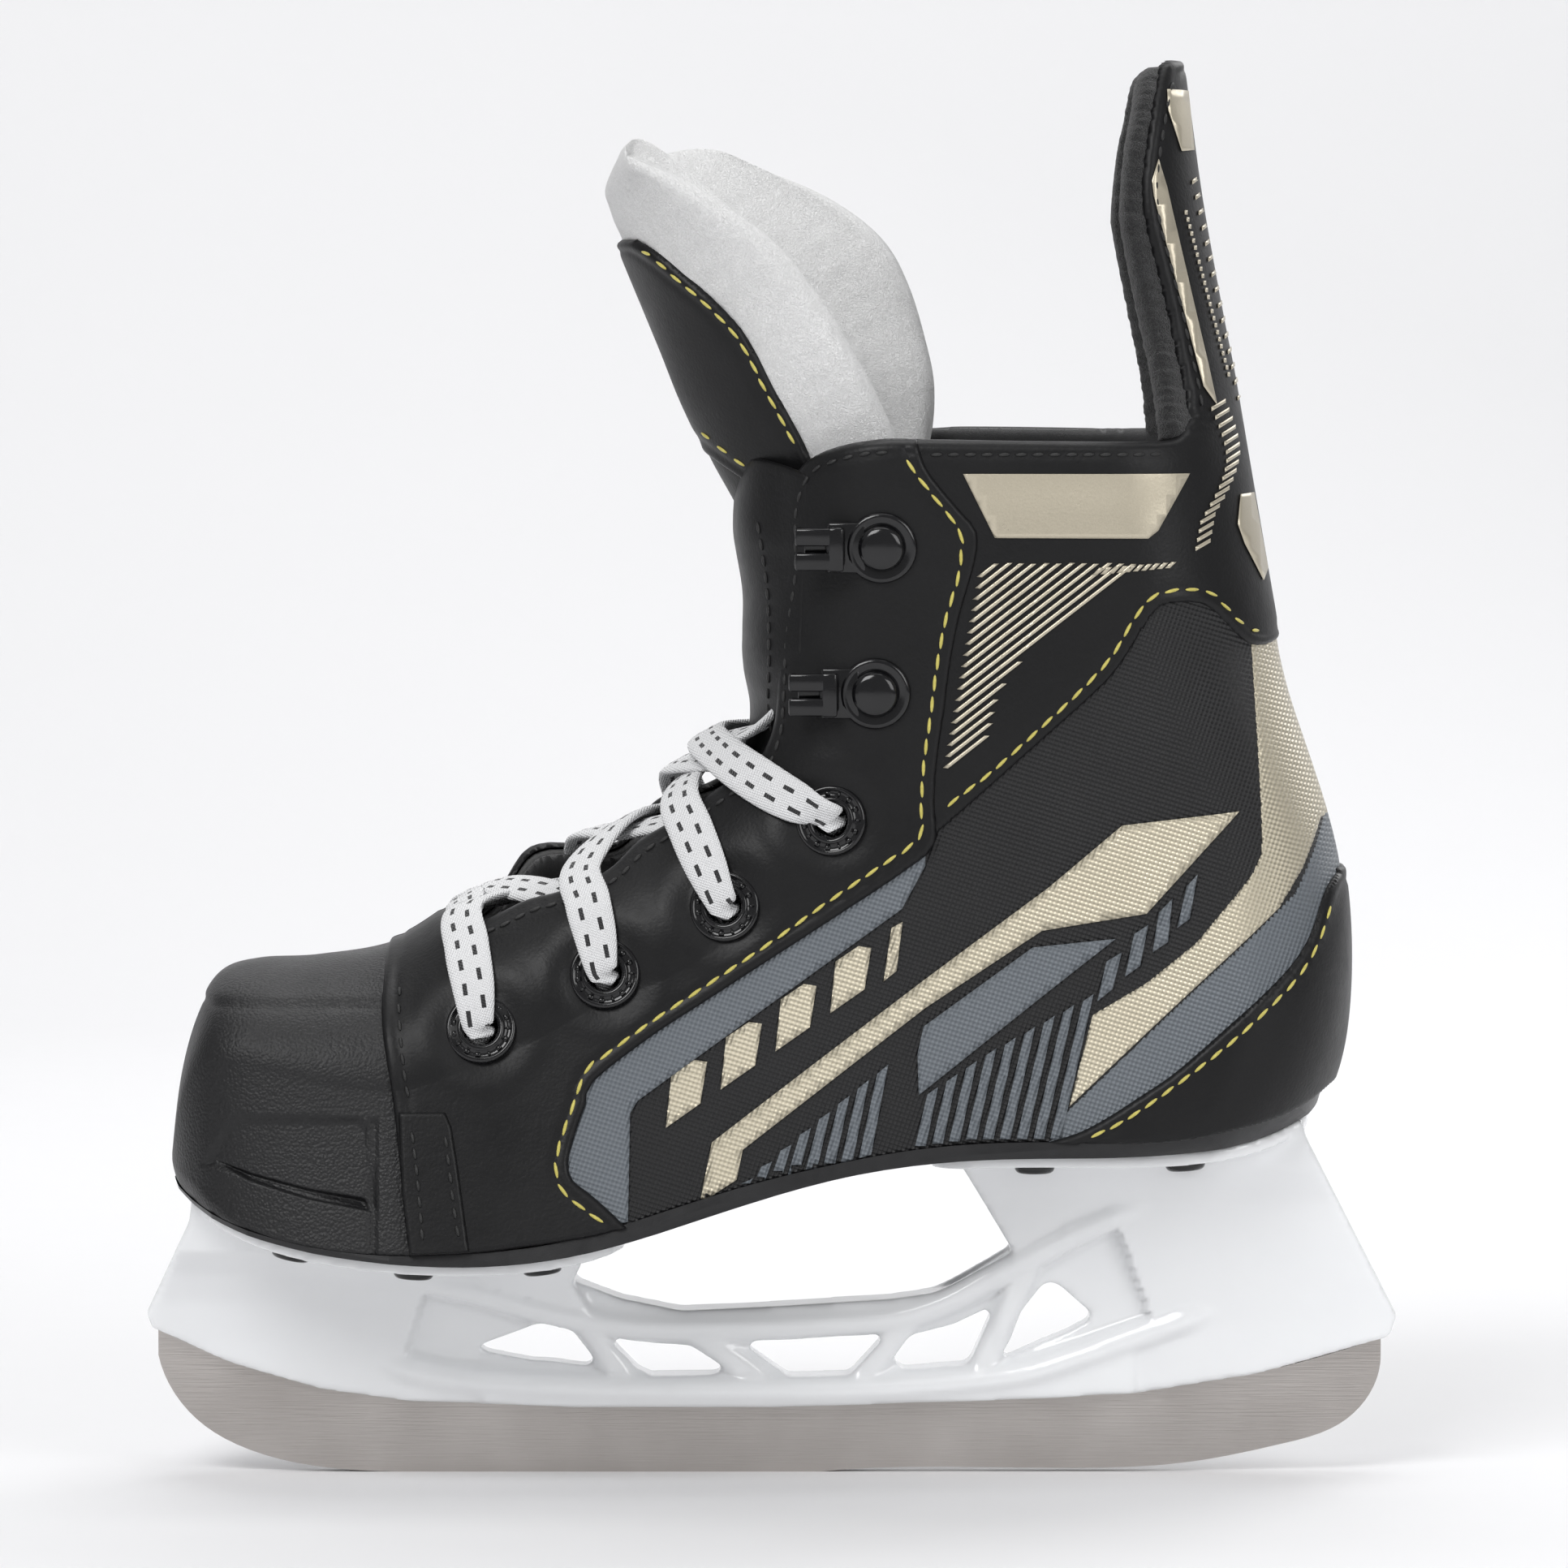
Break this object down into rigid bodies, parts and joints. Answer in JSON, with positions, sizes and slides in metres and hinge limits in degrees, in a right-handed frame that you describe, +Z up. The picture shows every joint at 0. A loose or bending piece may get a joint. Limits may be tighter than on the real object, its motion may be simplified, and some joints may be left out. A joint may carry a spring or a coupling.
{
  "type": "ice skate",
  "caption": "Low-cut youth ice hockey skate: padded boot with hinged tongue and tendon flap, laced eyelets and hooks, truss blade holder and steel runner.",
  "frame": {"origin": "on the ice line under the middle of the blade holder, bottom centre of the whole skate", "axes": "+X from toe to heel, +Z up, -Y is the outer (lateral) side of this left skate"},
  "size_m": [0.2073, 0.0762, 0.2343],
  "materials": {
    "steel": "brushed stainless, horizontal grain, ground flat",
    "holder_white": "glossy white moulded plastic",
    "toe_black": "pebbled matt black moulded plastic",
    "sole_black": "matt black moulded sole",
    "black_leather": "smooth black coated synthetic leather, satin",
    "quarter_weave": "black embossed weave with champagne and slate prints",
    "print_champagne": "champagne metallic film print",
    "print_slate": "slate grey film print",
    "stitch_yellow": "yellow contrast thread",
    "stitch_black": "black thread",
    "felt_white": "thick fluffy white felt",
    "lining_black": "brushed black lining",
    "foam": "closed cell foam",
    "board": "pressed fibre board",
    "footbed": "moulded EVA footbed with fabric top",
    "black_metal": "glossy black lacquered metal",
    "plain_metal": "zinc plated steel",
    "lace_white": "flat woven white lace with black dashes",
    "lace_tip": "clear-white plastic tip"
  },
  "bodies": {
    "root": {"runner": "steel", "runner_bolts": "plain_metal", "runner_nuts": "plain_metal", "blade_holder": "holder_white", "front_rivets": "black_metal", "rear_rivets": "black_metal", "rivet_washers": "plain_metal", "outsole": "sole_black", "insole_board": "board", "footbed": "footbed", "toe_cap": "toe_black", "toe_lining": "lining_black", "heel_counter": "black_leather", "facing_lateral": "black_leather", "facing_backer_lateral": "foam", "lining_lateral": "lining_black", "eyelets_lateral": "black_metal", "eyelet_washers_lateral": "black_metal", "lace_hooks_lateral": "black_metal", "hook_rivets_lateral": "black_metal", "collar_panel_lateral": "black_leather", "quarter_lateral": "quarter_weave", "ankle_padding_lateral": "foam", "vamp_tab_lateral": "black_leather", "lace_tail_lateral": "lace_white", "lace_tip_lateral": "lace_tip", "facing_medial": "black_leather", "facing_backer_medial": "foam", "lining_medial": "lining_black", "eyelets_medial": "black_metal", "eyelet_washers_medial": "black_metal", "lace_hooks_medial": "black_metal", "hook_rivets_medial": "black_metal", "collar_panel_medial": "black_leather", "quarter_medial": "quarter_weave", "ankle_padding_medial": "foam", "vamp_tab_medial": "black_leather", "lace_tail_medial": "lace_white", "lace_tip_medial": "lace_tip", "lace": "lace_white", "tongue_felt_lower": "felt_white", "tongue_face_lower": "black_leather"},
    "tongue_flap": {"tongue_face_upper": "black_leather", "tongue_felt_upper": "felt_white"},
    "tendon_guard": {"tendon_guard_skin": "black_leather", "tendon_guard_stiffener": "toe_black", "tendon_guard_felt": "lining_black"}
  },
  "joints": [
    {"name": "tongue_flex", "type": "hinge", "parent": "root", "child": "tongue_flap", "pos_m": [-0.009, 0, 0.1675], "axis": [0, 1, 0], "range_deg": [-50, 12], "stiffness_Nm_per_rad": 0.4},
    {"name": "tendon_guard_flex", "type": "hinge", "parent": "root", "child": "tendon_guard", "pos_m": [0.0776, 0, 0.1726], "axis": [0, 1, 0], "range_deg": [-8, 20], "stiffness_Nm_per_rad": 1}
  ]
}
